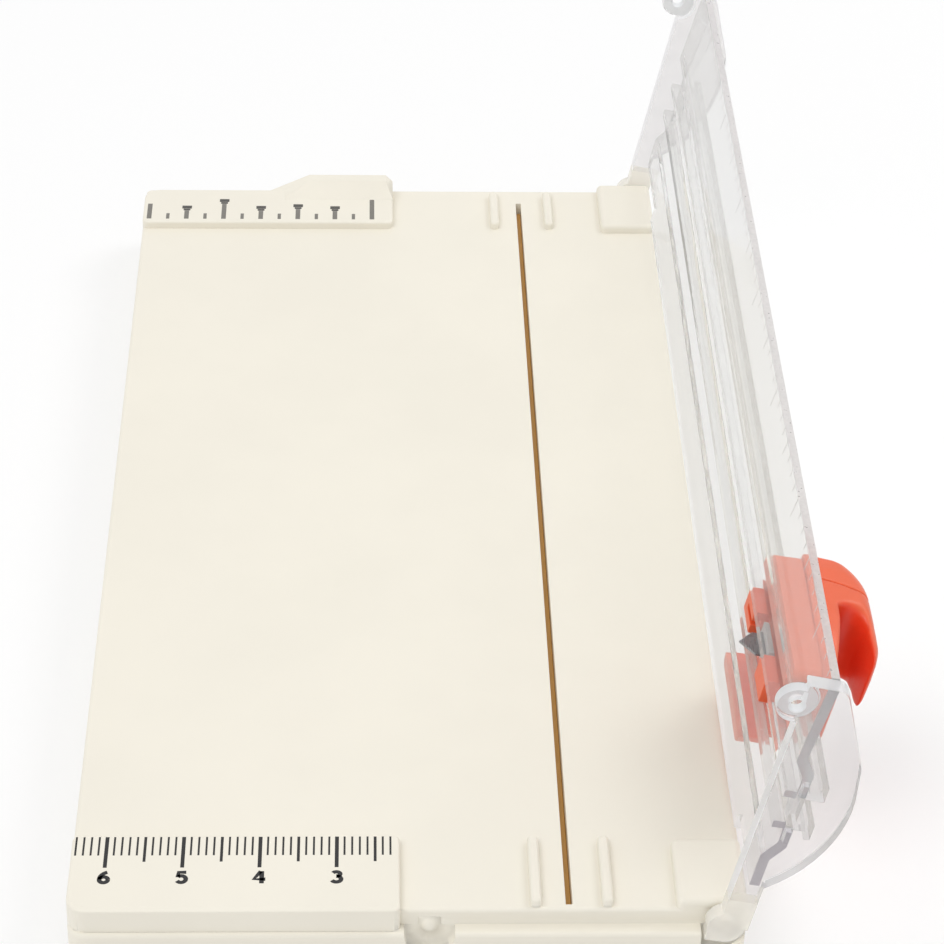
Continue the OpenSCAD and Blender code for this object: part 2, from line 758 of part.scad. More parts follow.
// Finger hole through the loop, open towards the front
module finger_hole() {
    back_y = seam_y - loop_back - hole_r;
    hull() for (y = [back_y, back_y - hole_run])
        translate([hole_floor + hole_r, y, -hood_width]) cylinder(h = 2 * hood_width, r = hole_r);
    span([hole_floor, -4 * slider_half, -hood_width], [hole_floor + hole_r, back_y - hole_run, hood_width]);
}

module finger_loop() {
    color("#f0714b") on_carriage() translate([0, 0, hinge_offset]) difference() {
        union() {
            hood_form();
            thumb_plate();
        }
        finger_hole();
        span([0, seam_y, -hood_width], [crest + 1, 4 * slider_half, hood_width]);
    }
}

module rear_cap() {
    color("#f0714b") on_carriage() translate([0, 0, hinge_offset]) intersection() {
        hood_form();
        span([0, seam_y + seat_clearance, -hood_width], [crest + 1, 4 * slider_half, hood_width]);
    }
}

module blade_holder() {
    pin_w = (slider_in + slider_out) / 2;
    color("#a9a5a0") on_carriage() translate([0, 0, hinge_offset]) difference() {
        span([holder_in, -holder_half, -holder_width / 2],
            [slider_out - seat_clearance, holder_half, holder_width / 2]);
        span([holder_in - 1, -blade_half - seat_clearance, -blade / 2 - seat_clearance],
            [blade_top + seat_clearance, blade_half + seat_clearance, blade / 2 + seat_clearance]);
        translate([pin_w, 0, -holder_width])
            cylinder(h = 2 * holder_width, r = blade_pin_r + seat_clearance);
    }
}

module blade() {
    pin_w = (slider_in + slider_out) / 2;
    color("#8d9196") on_carriage() translate([0, 0, hinge_offset - blade / 2]) difference() {
        linear_extrude(blade)
            polygon([[blade_tip, 0], [blade_tip + blade_rise, blade_half], [blade_top, blade_half],
                [blade_top, -blade_half], [blade_tip + blade_rise, -blade_half]]);
        translate([pin_w, 0, -1]) cylinder(h = blade + 2, r = blade_pin_r + seat_clearance);
    }
}

module blade_pin() {
    pin_w = (slider_in + slider_out) / 2;
    color("#b9bcc0") on_carriage() translate([pin_w, 0, hinge_offset - holder_width / 2])
        cylinder(h = holder_width, r = blade_pin_r);
}

base_shell();
base_cover();
cover_screws();
cutting_strip();
foot_near_left();
foot_near_right();
foot_far_left();
foot_far_right();
hinge_pin_near();
hinge_pin_far();
arm_rail();
end_plate_near();
end_plate_far();
slider();
finger_loop();
rear_cap();
blade_holder();
blade();
blade_pin();
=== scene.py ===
"""Looks of a small paper trimmer: cream bed, clear swing arm and an orange blade carriage."""

import json
import math

import bmesh
import bpy
import numpy as np
from mathutils import Matrix, Vector


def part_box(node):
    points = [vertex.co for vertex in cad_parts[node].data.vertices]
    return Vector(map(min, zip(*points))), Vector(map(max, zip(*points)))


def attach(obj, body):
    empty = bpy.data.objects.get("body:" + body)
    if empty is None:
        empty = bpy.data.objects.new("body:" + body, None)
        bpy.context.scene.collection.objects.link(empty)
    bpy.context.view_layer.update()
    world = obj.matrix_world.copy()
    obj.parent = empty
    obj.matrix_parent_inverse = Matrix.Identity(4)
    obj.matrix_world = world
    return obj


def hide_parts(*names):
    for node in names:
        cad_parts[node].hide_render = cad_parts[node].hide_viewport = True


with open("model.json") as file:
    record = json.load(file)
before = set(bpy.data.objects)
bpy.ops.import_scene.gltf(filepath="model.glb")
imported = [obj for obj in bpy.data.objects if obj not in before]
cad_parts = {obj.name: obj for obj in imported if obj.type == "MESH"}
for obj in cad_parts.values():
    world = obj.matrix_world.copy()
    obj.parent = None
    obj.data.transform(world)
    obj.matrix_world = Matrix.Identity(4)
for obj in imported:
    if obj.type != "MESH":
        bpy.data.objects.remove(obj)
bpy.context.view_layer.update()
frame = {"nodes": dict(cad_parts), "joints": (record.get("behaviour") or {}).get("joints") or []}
MM = 0.001
INCH = 25.4

# Hinge of the arm: its place in the row frame, in metres, and the lean of the open arm out from upright
JOINTS = {joint["name"]: joint for joint in frame["joints"]}
HINGE = Vector(JOINTS["arm_hinge"]["pos_m"])
LEAN = math.radians(JOINTS["arm_hinge"]["range_deg"][1] - 90)

# In millimetres: the hinge beside the cut line and below the bed, and the blade along the cut
HINGE_OFFSET = 20
HINGE_DROP = 1
CARRIAGE_Y = -57.5

# Bed frame in millimetres: right from the cut line, along the cut from the middle of the bed, up from the bed
SCALE = Matrix.Diagonal((MM, MM, MM, 1))
TO_BED = Matrix.Translation(HINGE + Vector((-HINGE_OFFSET, 0, HINGE_DROP)) * MM) @ SCALE

# Arm frame in millimetres, with the arm open: outwards, along the cut, up the arm from the hinge
TO_ARM = Matrix.Translation(HINGE) @ Matrix.Rotation(LEAN, 4, "Y") @ SCALE

# Carriage frame: the arm frame moved to the blade
TO_CARRIAGE = TO_ARM @ Matrix.Translation((0, CARRIAGE_Y, HINGE_OFFSET))

# Photograph: side and focal length in pixels, sensor in millimetres, camera turns in degrees and its place
PHOTO_SIDE = 944
PHOTO_FOCAL = 3092
SENSOR = 36
CAMERA_YAW = 2.39
CAMERA_PITCH = 36.32
CAMERA_ROLL = 1.50
CAMERA_PLACE = Vector((-26.0, -375.4, 280.6))

# Places on the base, in the bed frame
BASE_LOW, BASE_HIGH = (TO_BED.inverted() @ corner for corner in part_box("base_shell"))
BED_END = 89.0
PLINTH_TOP = -2.45
FENCE_Y = 76.2
FENCE_TOP = 1.3
FENCE_RIGHT = -21.8
NEAR_LAND = -90.3
FAR_FENCE_END = 86.9
RIB_MIDDLES = (-4.3, 4.95)
RIB_HALF = 0.75
RIB_NEAR = -88.6
BLOCK_LEFT = 13.8
BLOCK_TOP = 1.5
NEAR_BLOCK_END = -77.0
FAR_BLOCK_START = 75.1
BACK_STOP_START = 83.5
BACK_STOP = ((-43.3, -3), (-21.81, -3), (-21.81, 2.1), (-23, 3.29), (-36.3, 3.29), (-43.3, -0.01))
KNOB_X = -18.0
KNOB_Z = -2.6
BUMP_HALF = 1.5
BUMP_ROOT = 88
BUMP_TIP = 89.8

# Corners of the base seen from above, and how far its rounded faces lie inside the CAD faces
CORNER = 2.5
SMALL_CORNER = 0.9
HAIR = 0.01

# Scales on the fences: ink heights, then span, feet, lengths and half widths of the ticks, longest tick first
INK_LOW = FENCE_TOP - 0.015
INK_HIGH = FENCE_TOP + 0.01
NEAR_MILLIMETRES = range(23, 65)
NEAR_TICK_FOOT = -76.55
NEAR_TICK_LONG = (5.8, 4.7, 3.5)
NEAR_TICK_HALF = (0.27, 0.2, 0.14)
DIGIT_FOOT = -85.35
DIGIT_HALF = 0.3
FAR_EIGHTHS = range(8, 21)
FAR_TICK_FOOT = 77.2
FAR_TICK_LONG = (6.5, 4.9, 4.3, 1.8)
FAR_TICK_HALF = (0.42, 0.42, 0.42, 0.3)
HEAD_LONG = 1.6
HEAD_WIDE_LONG = 1.0
HEAD_HALF = 0.6
HEAD_WIDE_HALF = 0.85

# Places on the arm, in the arm frame, with the knob where the closed arm brings it to the bump
RAIL_NEAR = -89.27
TRACK_OUT = 4.3
SLOT_LOW = HINGE_OFFSET - 2.0
SLOT_HIGH = HINGE_OFFSET + 2.0
RULER_BEVEL = 40.3
RULER_FOOT_OUT = 2.75
RULER_FOOT_UP = 28.8
RULER_SLOPE = math.atan2(0.7, 11.6)
EDGE_EIGHTHS = range(-27, 28)
EDGE_TICK_TOP = 40.2
EDGE_TICK_LONG = (3.4, 2.4, 1.5)
EDGE_TICK_HALF = 0.09
EDGE_TICK_HIGH = 0.03
HINGE_END = 5.0
KNOB_OUT = KNOB_Z + HINGE_DROP
KNOB_UP = HINGE_OFFSET - KNOB_X
KNOB_MILKY = 2.0

# Places on the slider, in the carriage frame, and what its rounded face leaves out under the hood
SLIDER_OUT = 8.4
SLIDER_HALF = 12.7
SLIDER_SIDE = 6.5
WING_SIDE = -13.6
WING_NEAR = -5.1
UNDER_HOOD_Y = 8
UNDER_HOOD_T = 5

# Visor of the hood, in the carriage frame: out, along, radius, half width and edge of the discs in its hull
VISOR_DISCS = ((7.2, 6.3, 9.9, 6.5, 2.2), (10.0, -1.4, 7.6, 5.4, 2.2), (16.5, -4.3, 0.6, 3.4, 0.5),
               (9.9, -3.0, 1.5, 6.5, 1.4), (9.9, 11.7, 1.5, 6.5, 1.4))
HOOD_FOOT = SLIDER_OUT + 0.02
HOOD_END = 13.2

# Thumb plate and finger hole: middles and radii of the circles in their hulls, and the open front
THUMB_CIRCLES = ((-3.0, -11.2, 1.5), (3.0, -11.2, 1.5), (-5.0, 0, 1.5), (5.0, 0, 1.5))
THUMB_TOP = 10.6
HOLE_CIRCLES = ((13.3, 0.7, 2.7), (13.9, -6.5, 2.7))
HOLE_MIDDLE = 13.3
HOLE_FRONT = -3.2
HOLE_FLOOR_RISE = 1.2

# Seam between the visor and the rear cap, and the grid on which the hood is worked out
SEAM_Y = 7.8
SEAM_BEND = 1.7
SEAM_GAP = 0.05
GRID_LOW = np.array([8.0, -13.6, -7.2])
GRID_HIGH = np.array([18.4, 14.0, 7.2])
GRID_STEP = 0.2

# Least part of a normal that counts as facing along an axis, slack for a place, and welding distance
FACING = 0.9
SLACK = 0.1
WELD = 0.002

# Floor in metres, and the world's strength as a light
FLOOR_SIDE = 1.2
FLOOR_FAR = 2.4
WORLD_LIGHT = 0.67


# Camera


def add_camera():
    """Camera at the place and angle of the photograph."""
    yaw, pitch, roll = (math.radians(angle) for angle in (CAMERA_YAW, CAMERA_PITCH, CAMERA_ROLL))
    ahead = Vector((math.sin(yaw) * math.cos(pitch), math.cos(yaw) * math.cos(pitch), -math.sin(pitch)))
    side = Vector((math.cos(yaw), -math.sin(yaw), 0))
    top = side.cross(ahead)
    right = math.cos(roll) * side + math.sin(roll) * top
    up = math.cos(roll) * top - math.sin(roll) * side
    data = bpy.data.cameras.new("camera")
    data.sensor_width = SENSOR
    data.lens = SENSOR * PHOTO_FOCAL / PHOTO_SIDE
    data.clip_start = 0.01
    camera = bpy.data.objects.new("camera", data)
    matrix = Matrix((right, up, -ahead)).transposed().to_4x4()
    matrix.translation = TO_BED @ CAMERA_PLACE
    camera.matrix_world = matrix
    bpy.context.scene.collection.objects.link(camera)
    bpy.context.scene.camera = camera


# Materials


class Value:
    """Output socket of a node, usable in plain sums and products."""

    def __init__(self, nodes, socket):
        self.nodes = nodes
        self.socket = socket

    def math(self, operation, other):
        return self.nodes.node("ShaderNodeMath", {0: self, 1: other}, operation=operation)

    def __add__(self, other):
        return self.math("ADD", other)

    def __mul__(self, other):
        return self.math("MULTIPLY", other)

    __radd__ = __add__
    __rmul__ = __mul__

    def ramp(self, low, high, to_low=0.0, to_high=1.0):
        """Smooth change from to_low at low to to_high at high."""
        sockets = {"Value": self, "From Min": low, "From Max": high, "To Min": to_low, "To Max": to_high}
        return self.nodes.node("ShaderNodeMapRange", sockets, interpolation_type="SMOOTHSTEP")


class Nodes:
    """Node tree of a material or of the world."""

    def __init__(self, tree):
        self.tree = tree

    def node(self, kind, sockets, out=0, **settings):
        """New node with its settings, then the values and links of its sockets."""
        made = self.tree.nodes.new(kind)
        for key, setting in settings.items():
            setattr(made, key, setting)
        for key, entry in sockets.items():
            if isinstance(entry, Value):
                self.tree.links.new(entry.socket, made.inputs[key])
            else:
                made.inputs[key].default_value = entry
        return Value(self, made.outputs[out])

    def mix(self, factor, first, second):
        """Colour between two colours."""
        first, second = ((*colour, 1) if isinstance(colour, tuple) else colour for colour in (first, second))
        return self.node("ShaderNodeMix", {0: factor, 6: first, 7: second}, 2, data_type="RGBA")

    def background_ray(self):
        """1 for a ray that shows the background: from the camera, off gloss or through clear plastic."""
        camera, gloss, clear = (self.node("ShaderNodeLightPath", {}, "Is %s Ray" % kind)
                                for kind in ("Camera", "Glossy", "Transmission"))
        return camera.math("MAXIMUM", gloss).math("MAXIMUM", clear)


class Paint(Nodes):
    """Material with a principled shader, whose constants are set on its own sockets."""

    def __init__(self, name, **constants):
        self.material = bpy.data.materials.new(name)
        self.material.use_nodes = True
        super().__init__(self.material.node_tree)
        self.shader = self.tree.nodes["Principled BSDF"]
        for key, constant in constants.items():
            self.shader.inputs[key.replace("_", " ")].default_value = constant
        self.place = self.node("ShaderNodeTexCoord", {}, "Object")

    def noise(self, size, detail=2.0, stretch=(1, 1, 1)):
        """Noise from 0 to 1 with features of that size in millimetres, longer where the stretch is small."""
        place = self.node("ShaderNodeMapping", {"Vector": self.place, "Scale": stretch})
        return self.node("ShaderNodeTexNoise", {"Vector": place, "Scale": 1 / (size * MM), "Detail": detail})

    def feed(self, name, value):
        self.tree.links.new(value.socket, self.shader.inputs[name])

    def show(self, share, other):
        """Shows that share of another shader in place of the principled one."""
        own = Value(self, self.shader.outputs[0])
        shown = self.node("ShaderNodeMixShader", {0: share, 1: own, 2: other})
        self.tree.links.new(shown.socket, self.tree.nodes["Material Output"].inputs["Surface"])

    def bump(self, height, depth, strength):
        """Relief of that depth in millimetres from a height between 0 and 1."""
        sockets = {"Strength": strength, "Distance": depth * MM, "Height": height}
        self.feed("Normal", self.node("ShaderNodeBump", sockets))


def darker(colour, share):
    return tuple(part * share for part in colour)


def moulded(name, colour, roughness, grain, painted_inner_shade=None):
    """Moulded plastic: faint cloudy colour, fine grain, slightly uneven gloss, and a darker, redder painted
    shade where the mesh stores a share inside.
    """
    paint = Paint(name)
    fine = paint.noise(size=0.35)
    cloud = paint.noise(size=22, detail=3).ramp(0.3, 0.7)
    shade = paint.mix(cloud, colour, darker(colour, 0.975))
    # Painted shade: a darker, redder colour mixed in by the share that the mesh stores as inside
    if painted_inner_shade:
        inside = paint.node("ShaderNodeAttribute", {}, "Fac", attribute_name="inside")
        shade = paint.mix(inside, shade, painted_inner_shade)
    paint.feed("Base Color", shade)
    paint.feed("Roughness", fine.ramp(0.2, 0.8, roughness - 0.05, roughness + 0.06))
    paint.bump(fine + paint.noise(size=3.5) * 1.5, depth=grain, strength=0.35)
    return paint.material


def clear_plastic(name, colour, transmission, roughness=0.02, ior=1.22):
    """Slightly milky clear plastic with flow lines along the cut, that lets the lamps through."""
    paint = Paint(name, Transmission_Weight=transmission, IOR=ior)
    flow = paint.noise(size=2.2, stretch=(1, 0.03, 1))
    fine = paint.noise(size=0.8)
    paint.feed("Base Color", paint.mix(flow.ramp(0.3, 0.7), colour, darker(colour, 0.97)))
    paint.feed("Roughness", fine.ramp(0.2, 0.8, roughness, roughness + 0.04))
    paint.bump(flow + fine * 0.2, depth=0.005, strength=0.5)
    through = paint.node("ShaderNodeBsdfTransparent", {"Color": (0.93, 0.93, 0.93, 1)})
    paint.show(paint.node("ShaderNodeLightPath", {}, "Is Shadow Ray"), through)
    return paint.material


def frosted(name, colour, transmission, roughness=0.5, grain=0.25):
    """Rough cut or engraved clear plastic."""
    paint = Paint(name, Transmission_Weight=transmission, IOR=1.3)
    fine = paint.noise(size=grain, detail=3)
    paint.feed("Base Color", paint.mix(fine.ramp(0.3, 0.7), colour, darker(colour, 0.9)))
    paint.feed("Roughness", fine.ramp(0.2, 0.8, roughness - 0.1, roughness + 0.1))
    paint.bump(fine, depth=0.02, strength=0.6)
    return paint.material


def ground_steel(name, colour, roughness, stretch=(1, 1, 1)):
    """Steel with grinding lines, long where the stretch is small."""
    paint = Paint(name, Metallic=1.0)
    lines = paint.noise(size=0.12, detail=3, stretch=stretch)
    paint.feed("Base Color", paint.mix(lines, colour, darker(colour, 0.78)))
    paint.feed("Roughness", lines.ramp(0.2, 0.8, roughness - 0.08, roughness + 0.1))
    paint.bump(lines, depth=0.01, strength=0.5)
    return paint.material


def printed_ink(name, colour, thin_colour):
    """Matte print with slightly thin places."""
    paint = Paint(name)
    thin = paint.noise(size=0.3, detail=3)
    paint.feed("Base Color", paint.mix(thin.ramp(0.55, 0.85), colour, thin_colour))
    paint.feed("Roughness", thin.ramp(0.2, 0.8, 0.42, 0.6))
    return paint.material


def rubber(name, colour, dusty_colour):
    """Dark rubber with a dusty bloom."""
    paint = Paint(name)
    dust = paint.noise(size=1.2, detail=4)
    paint.feed("Base Color", paint.mix(dust.ramp(0.45, 0.75), colour, dusty_colour))
    paint.feed("Roughness", dust.ramp(0.2, 0.8, 0.7, 0.9))
    paint.bump(paint.noise(size=0.3, detail=3), depth=0.04, strength=0.6)
    return paint.material


ORANGE_COLOUR = (0.79, 0.118, 0.038)
CREAM = moulded("cream_plastic", (0.868, 0.826, 0.722), roughness=0.46, grain=0.012)
CREAM_MATTE = moulded("cream_plastic_matte", (0.80, 0.765, 0.665), roughness=0.6, grain=0.02)
PIN = moulded("pin_plastic", (0.74, 0.66, 0.52), roughness=0.4, grain=0.01)
STRIP = moulded("strip_plastic", (0.74, 0.40, 0.11), roughness=0.5, grain=0.01)
HOLDER = moulded("holder_plastic", (0.40, 0.385, 0.37), roughness=0.45, grain=0.01)
ORANGE = moulded("orange_plastic", ORANGE_COLOUR, roughness=0.38, grain=0.012)
# Hood plastic: the orange, with a darker, redder painted shade inside the finger hole
HOOD = moulded("hood_plastic", ORANGE_COLOUR, roughness=0.38, grain=0.012, painted_inner_shade=(0.80, 0.052, 0.016))
CLEAR = clear_plastic("clear_plastic", (0.872, 0.870, 0.864), transmission=0.87, ior=1.12)
PLATE = clear_plastic("clear_plastic_plate", (0.885, 0.870, 0.870), transmission=0.88)
PLATE_RIM = clear_plastic("clear_plastic_rim", (0.87, 0.87, 0.88), transmission=0.55, roughness=0.3)
# Hinge end of the end plates: cream, milky plastic, made lighter as painted light where shade falls
PLATE_HINGE = clear_plastic("clear_plastic_hinge", (0.96, 0.935, 0.875), transmission=0.4, roughness=0.15)
PLATE_KNOB = clear_plastic("clear_plastic_knob", (0.84, 0.85, 0.86), transmission=0.2, roughness=0.4)
# Near cut of the rail: grey rough plastic, darker on its lower half as painted shade and paler on its upper
# half as painted light
RAIL_CUT_SHADED = frosted("clear_plastic_cut", (0.52, 0.49, 0.55), transmission=0.3)
RAIL_CUT_LIT = frosted("clear_plastic_cut_pale", (0.66, 0.69, 0.72), transmission=0.5)
RULER_EDGE = frosted("clear_plastic_edge", (0.82, 0.79, 0.79), transmission=0.5, roughness=0.35, grain=0.6)
ENGRAVED = frosted("clear_plastic_engraved", (0.68, 0.66, 0.68), transmission=0.4, roughness=0.45)
BLADE = ground_steel("blade_steel", (0.34, 0.34, 0.35), roughness=0.30, stretch=(1, 0.06, 1))
SCREW = ground_steel("screw_steel", (0.55, 0.55, 0.56), roughness=0.35)
RUBBER = rubber("foot_rubber", (0.03, 0.03, 0.032), (0.06, 0.058, 0.056))
INK = printed_ink("scale_ink", (0.008, 0.008, 0.009), (0.04, 0.038, 0.036))
INK_PALE = printed_ink("scale_ink_pale", (0.07, 0.066, 0.06), (0.13, 0.12, 0.11))
INK_FAINT = printed_ink("scale_ink_faint", (0.19, 0.18, 0.16), (0.28, 0.27, 0.24))


# Meshes


def add_piece(name, mesh, paints, body, slot, *nodes):
    """New piece on a body, standing for the nodes it hides; the slot argument is not used."""
    piece = bpy.data.objects.new(name, mesh)
    bpy.context.scene.collection.objects.link(piece)
    mesh.materials.clear()
    for paint in paints:
        mesh.materials.append(paint)
    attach(piece, body)
    if nodes:
        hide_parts(*nodes)
    return piece


def even_shading(piece):
    """Flat faces keep flat shading beside small rounded edges."""
    weigh = piece.modifiers.new("weighted_normals", "WEIGHTED_NORMAL")
    weigh.keep_sharp = True


def smooth(mesh, sharp):
    """The mesh with smooth faces, and with sharp edges above that angle."""
    mesh.shade_smooth()
    mesh.set_sharp_from_angle(angle=math.radians(sharp))
    return mesh


def to_mesh(bm, name, sharp=40):
    """Shaded mesh of a finished bmesh, which is freed."""
    mesh = bpy.data.meshes.new(name)
    bm.to_mesh(mesh)
    bm.free()
    return smooth(mesh, sharp)


def weld(bm):
    bmesh.ops.remove_doubles(bm, verts=bm.verts, dist=WELD * MM)


def take(node):
    """Closed copy of a CAD node."""
    bm = bmesh.new()
    bm.from_mesh(frame["nodes"][node].data)
    weld(bm)
    return bm


def take_flat(node):
    """Copy of a CAD node with its triangles joined into flat faces."""
    bm = take(node)
    bmesh.ops.dissolve_limit(bm, angle_limit=math.radians(0.5), verts=bm.verts, edges=bm.edges)
    return bm


def soften(bm, width, segments=2, sharp=24, wanted=None):
    """Rounds the sharp edges, or those of them that are wanted, by that width in millimetres."""
    edges = []
    for edge in bm.edges:
        if len(edge.link_faces) == 2 and edge.calc_face_angle(0) > math.radians(sharp):
            if wanted is None or wanted(*(vert.co for vert in edge.verts)):
                edges.append(edge)
    bmesh.ops.bevel(bm, geom=edges, offset=width * MM, offset_type="OFFSET", segments=segments, profile=0.5,
                    affect="EDGES", clamp_overlap=False, loop_slide=False)
    weld(bm)


def dress(node, paint, body, slot, width, segments=2):
    """Piece with rounded edges in the place of a CAD node."""
    bm = take_flat(node)
    soften(bm, width, segments)
    even_shading(add_piece(node + "_body", to_mesh(bm, node + "_body"), [paint], body, slot, node))


def add_marks(name, matrix, bars, paint, body, slot):
    """Piece of thin bars with slanted edges, each given by two corners, seen from above, and two heights."""
    bm = bmesh.new()
    for x0, y0, x1, y1, z0, z1 in bars:
        inset = min(x1 - x0, y1 - y0) * 0.12
        corners = [(x0, y0, z0), (x1, y0, z0), (x1, y1, z0), (x0, y1, z0)]
        corners += [(x0 + inset, y0 + inset, z1), (x1 - inset, y0 + inset, z1),
                    (x1 - inset, y1 - inset, z1), (x0 + inset, y1 - inset, z1)]
        verts = [bm.verts.new(matrix @ Vector(corner)) for corner in corners]
        for face in ((3, 2, 1, 0), (4, 5, 6, 7), (0, 1, 5, 4), (1, 2, 6, 5), (2, 3, 7, 6), (3, 0, 4, 7)):
            bm.faces.new([verts[i] for i in face])
    add_piece(name, to_mesh(bm, name, sharp=20), [paint], body, slot)


# Rounded slabs


def plan(x0, y0, x1, y1, radii, steps=6):
    """Outline of a rectangle with round corners, from the near left one by the right ones to the far left."""
    corners = ((x0, y0, 1, 1), (x1, y0, -1, 1), (x1, y1, -1, -1), (x0, y1, 1, -1))
    outline = []
    for count, ((x, y, in_x, in_y), r) in enumerate(zip(corners, radii)):
        for step in range(steps + 1):
            angle = math.radians(180 + 90 * (count + step / steps))
            outline.append(Vector((x + r * (in_x + math.cos(angle)), y + r * (in_y + math.sin(angle)))))
    return outline


def ways_out(outline):
    """For each corner of an outline, the step that moves the two sides beside it out by one."""
    found = []
    for i, here in enumerate(outline):
        before = here - outline[i - 1]
        after = outline[(i + 1) % len(outline)] - here
        first = Vector((before.y, -before.x)).normalized()
        second = Vector((after.y, -after.x)).normalized()
        found.append((first + second) / (1 + first.dot(second)))
    return found


def slab(outline, low, high, edge, matrix=TO_BED, near_soft=1.0, steps=5):
    """Prism of a convex outline with its top edge rounded, the near side drawn in by another share."""
    levels = [(low, 0)]
    for step in range(steps + 1):
        turn = math.radians(90 * step / steps)
        levels.append((high - edge * (1 - math.sin(turn)), edge * (1 - math.cos(turn))))
    bm = bmesh.new()
    rings = []
    for height, inset in levels:
        ring = []
        for place, out in zip(outline, ways_out(outline)):
            share = near_soft if out.y < 0 else 1
            corner = Vector((place.x - inset * out.x, place.y - inset * share * out.y, height))
            ring.append(bm.verts.new(matrix @ corner))
        rings.append(ring)
    count = len(outline)
    for lower, upper in zip(rings, rings[1:]):
        for i in range(count):
            bm.faces.new((lower[i], lower[(i + 1) % count], upper[(i + 1) % count], upper[i]))
    bm.faces.new(rings[0][::-1])
    bm.faces.new(rings[-1])
    bmesh.ops.recalc_face_normals(bm, faces=bm.faces)
    return to_mesh(bm, "slab")


def carve(mesh, operation, tools):
    """Mesh after a boolean with each of the tool meshes in turn."""
    body = bpy.data.objects.new("carved", mesh)
    helpers = [bpy.data.objects.new("carver", tool) for tool in tools]
    for made in (body, *helpers):
        bpy.context.scene.collection.objects.link(made)
    for helper in helpers:
        cut = body.modifiers.new("cut", "BOOLEAN")
        cut.operation = operation
        cut.solver = "MANIFOLD"
        cut.object = helper
    carved = bpy.data.meshes.new_from_object(body.evaluated_get(bpy.context.evaluated_depsgraph_get()))
    for made in (body, *helpers):
        bpy.data.objects.remove(made)
    return carved


# Base


def flat_slabs(bed):
    """Plinth, bed, fences, ribs and hinge blocks."""
    foot = BASE_LOW.z - 2
    left, right = BASE_LOW.x + HAIR, BASE_HIGH.x - HAIR
    plinth = BASE_HIGH.y - HAIR
    fence_right = FENCE_RIGHT - HAIR
    fence_y = FENCE_Y + HAIR
    fence_top = FENCE_TOP - HAIR
    near_radii = (CORNER, SMALL_CORNER, SMALL_CORNER, SMALL_CORNER)
    near_fence = plan(left, NEAR_LAND + HAIR, fence_right, -fence_y, near_radii)
    far_fence = plan(left, fence_y, fence_right, FAR_FENCE_END - HAIR, near_radii[::-1])
    slabs = [
        slab(plan(left, -plinth, right, plinth, radii=(CORNER,) * 4), foot, PLINTH_TOP - HAIR, edge=0.6),
        slab(plan(left, -bed, right, bed, radii=(1,) * 4), foot, -HAIR, edge=0.5),
        slab(near_fence, foot, fence_top, edge=0.35, near_soft=2.4),
        slab(far_fence, foot, fence_top, edge=0.35),
    ]
    for middle in RIB_MIDDLES:
        rib_left, rib_right = middle - RIB_HALF + HAIR, middle + RIB_HALF - HAIR
        for near, far in ((RIB_NEAR, -FENCE_Y), (FENCE_Y, FAR_FENCE_END)):
            rib = plan(rib_left, near + HAIR, rib_right, far - HAIR, radii=(0.6,) * 4)
            slabs.append(slab(rib, foot, fence_top, edge=0.5))
    for near, far in ((-bed, NEAR_BLOCK_END - HAIR), (FAR_BLOCK_START + HAIR, bed)):
        block = plan(BLOCK_LEFT + HAIR, near, right, far, radii=(SMALL_CORNER,) * 4)
        slabs.append(slab(block, foot, BLOCK_TOP - HAIR, edge=0.8))
    return slabs


def upright_slabs(bed):
    """Back stop and latch bumps: slabs whose outlines stand across the cut and whose tops face along it."""
    upright = TO_BED @ Matrix(((1, 0, 0, 0), (0, 0, 1, 0), (0, 1, 0, 0), (0, 0, 0, 1)))
    back_stop = [Vector(point) for point in BACK_STOP]
    slabs = [slab(back_stop, BACK_STOP_START, bed, edge=0.5, matrix=upright)]
    bump = plan(KNOB_X - BUMP_HALF, KNOB_Z - BUMP_HALF, KNOB_X + BUMP_HALF, KNOB_Z + BUMP_HALF, (0.2,) * 4)
    for side in (-1, 1):
        slabs.append(slab(bump, side * BUMP_ROOT, side * BUMP_TIP, edge=0.01 * side, matrix=upright))
    return slabs


def add_base():
    """Base cut to rounded slabs, drawn in a hair from the CAD faces so that their own faces show."""
    bed = BED_END - HAIR
    first, *others = flat_slabs(bed) + upright_slabs(bed)
    envelope = carve(first, "UNION", others)
    mesh = carve(to_mesh(take("base_shell"), "base_shell_body"), "INTERSECT", [envelope])
    mesh.name = "base_shell_body"
    smooth(mesh, sharp=35)
    even_shading(add_piece("base_shell_body", mesh, [CREAM], "base", "cream_plastic", "base_shell"))
    dress("base_cover", CREAM_MATTE, "base", "cream_plastic_matte", width=0.3)
    dress("cover_screws", SCREW, "base", "screw_steel", width=0.15)
    dress("cutting_strip", STRIP, "base", "strip_plastic", width=0.08)
    for name in ("near_left", "near_right", "far_left", "far_right"):
        dress("foot_" + name, RUBBER, "base", "foot_rubber", width=0.25)
    for name in ("near", "far"):
        dress("hinge_pin_" + name, PIN, "base", "pin_plastic", width=0.2, segments=3)


# Scales


def rank(count, *spans):
    """Place of the first span that divides a count, or the number of spans where none does."""
    return next((place for place, span in enumerate(spans) if count % span == 0), len(spans))


def add_near_ticks():
    """Centimetre scale on the near fence, counted from the cut line."""
    bars = []
    for x in NEAR_MILLIMETRES:
        kind = rank(x, 10, 5)
        half = NEAR_TICK_HALF[kind]
        end = NEAR_TICK_FOOT - NEAR_TICK_LONG[kind]
        bars.append((-x - half, end, -x + half, NEAR_TICK_FOOT, INK_LOW, INK_HIGH))
    add_marks("near_scale_ticks", TO_BED, bars, INK, "base", "foot_rubber")


def arc(x, y, across, up, start, end, steps=14):
    """Points on an ellipse between two angles in degrees."""
    turns = [math.radians(start + (end - start) * step / steps) for step in range(steps + 1)]
    return [Vector((x + across * math.cos(turn), y + up * math.sin(turn))) for turn in turns]


